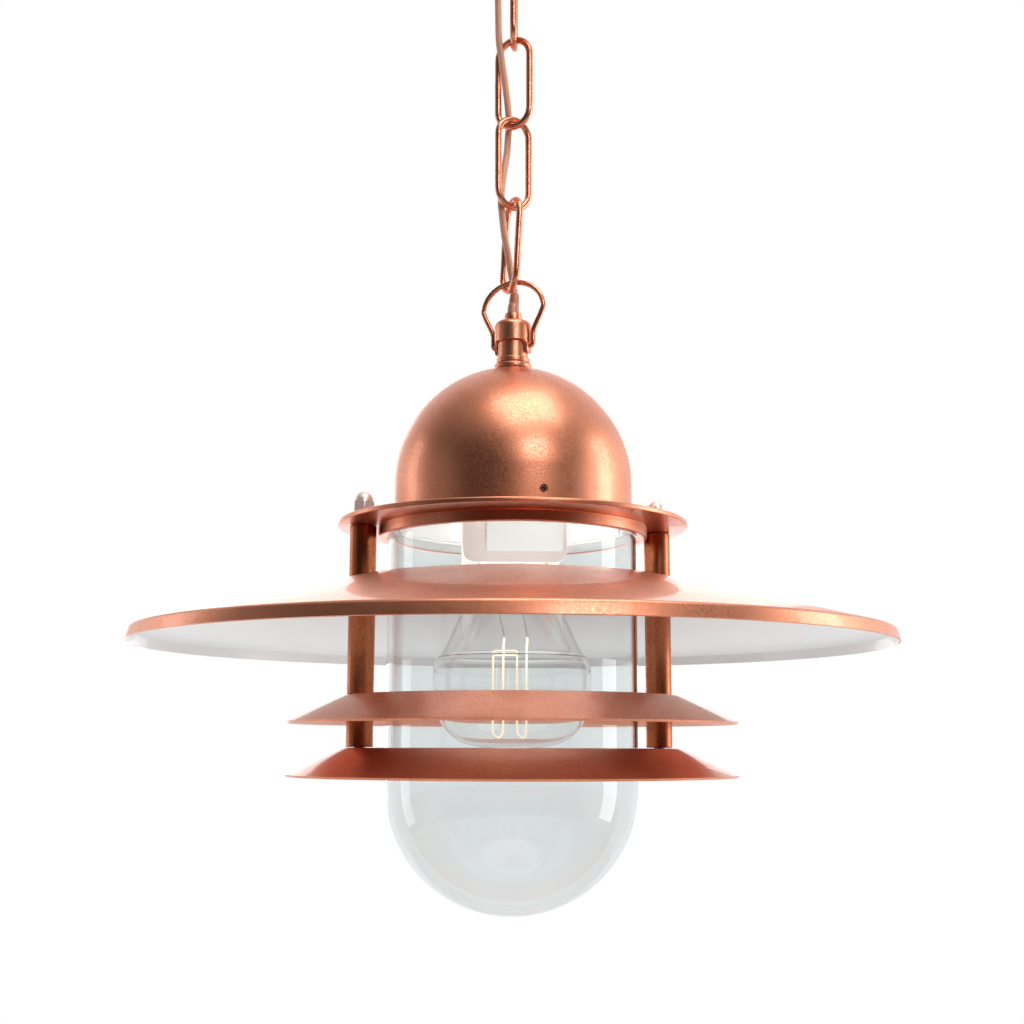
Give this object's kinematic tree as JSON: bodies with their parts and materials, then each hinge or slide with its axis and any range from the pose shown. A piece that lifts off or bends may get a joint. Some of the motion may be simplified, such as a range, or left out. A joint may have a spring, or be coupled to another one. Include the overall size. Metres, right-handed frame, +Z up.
{
  "type": "hanging lantern",
  "caption": "Copper pendant lantern on a chain: domed cap over a clear glass jar and lamp, ringed by a wide shade and narrow louvres held on twin posts",
  "frame": {"origin": "middle of the ceiling plate's top face, where it meets the ceiling", "axes": "+Z up, out of the ceiling plate; the two posts stand on the X axis"},
  "size_m": [0.4, 0.4, 0.5932],
  "materials": {
    "copper": "satin copper with a fine grain",
    "polished_copper": "polished copper",
    "zinc_steel": "zinc plated",
    "brass": "bright brass",
    "clear_glass": "clear",
    "black_rubber": "matt",
    "white_silicone": "matt",
    "copper_rubber": "satin, coloured copper",
    "porcelain": "glazed",
    "label_white": "blank white plate",
    "copper_cord": "round flexible sheath",
    "filament_glow": "fine wire"
  },
  "bodies": {
    "ceiling": {"ceiling_plate": "zinc_steel", "ceiling_hook": "copper", "hook_locknut": "zinc_steel", "canopy": "copper", "canopy_ring": "copper", "canopy_grommet": "black_rubber", "terminal_block": "porcelain", "cord_1": "copper_cord"},
    "link_4": {"chain_link_4": "copper", "cord_2": "copper_cord"},
    "link_3": {"chain_link_3": "copper", "cord_3": "copper_cord"},
    "link_2": {"chain_link_2": "copper", "cord_4": "copper_cord"},
    "link_1": {"chain_link_1": "copper", "cord_5": "copper_cord"},
    "bail_body": {"bail": "copper", "cord_6": "copper_cord"},
    "lantern": {"saddle": "copper", "gland_nut": "copper", "neck_tube": "copper", "neck_nut": "copper", "dome": "copper", "top_plate": "copper", "wide_shade": "copper", "upper_louvre": "copper", "lower_louvre": "copper", "post_sleeve_left_1": "copper", "post_sleeve_left_2": "copper", "post_sleeve_left_3": "copper", "post_sleeve_right_1": "copper", "post_sleeve_right_2": "copper", "post_sleeve_right_3": "copper", "acorn_nut_left": "polished_copper", "acorn_nut_right": "polished_copper", "crown_nut": "zinc_steel", "bracket_nut": "zinc_steel", "lamp_bracket": "zinc_steel", "grub_screw_1": "zinc_steel", "grub_screw_2": "zinc_steel", "grub_screw_3": "zinc_steel", "threaded_rod_left": "zinc_steel", "threaded_rod_right": "zinc_steel", "lower_nut_left": "zinc_steel", "lower_nut_right": "zinc_steel", "filament_lead_1": "zinc_steel", "filament_lead_2": "zinc_steel", "screw_shell": "brass", "centre_contact": "brass", "bulb_cap": "brass", "bulb_tip": "brass", "glass_jar": "clear_glass", "bulb_glass": "clear_glass", "bulb_stem": "clear_glass", "gasket": "white_silicone", "strain_relief": "copper_rubber", "lamp_holder": "porcelain", "rating_plate": "label_white", "supply_lead": "copper_cord", "filament": "filament_glow"}
  },
  "joints": [
    {"name": "link_4_swing", "type": "hinge", "parent": "ceiling", "child": "link_4", "pos_m": [0, 0, -0.0683], "axis": [0.9781, -0.2079, 0], "range_deg": [-25, 25], "deforming": ["cord_1"]},
    {"name": "link_3_swing", "type": "hinge", "parent": "link_4", "child": "link_3", "pos_m": [0, 0, -0.1153], "axis": [0.2079, 0.9781, 0], "range_deg": [-25, 25], "deforming": ["cord_2"]},
    {"name": "link_2_swing", "type": "hinge", "parent": "link_3", "child": "link_2", "pos_m": [0, 0, -0.1629], "axis": [0.788, -0.6157, 0], "range_deg": [-25, 25], "deforming": ["cord_3"]},
    {"name": "link_1_swing", "type": "hinge", "parent": "link_2", "child": "link_1", "pos_m": [0, 0, -0.2105], "axis": [0.9272, 0.3746, 0], "range_deg": [-25, 25], "deforming": ["cord_4"]},
    {"name": "bail_swing", "type": "hinge", "parent": "link_1", "child": "bail_body", "pos_m": [-0.0022, 0.0015, -0.25803], "axis": [0.2062, -0.9777, -0.0404], "range_deg": [-20, 20], "deforming": ["cord_5"]},
    {"name": "lantern_swing", "type": "hinge", "parent": "bail_body", "child": "lantern", "pos_m": [0, 0, -0.29061], "axis": [0.8192, -0.5736, 0], "range_deg": [-10, 10], "deforming": ["cord_6", "strain_relief"]}
  ]
}
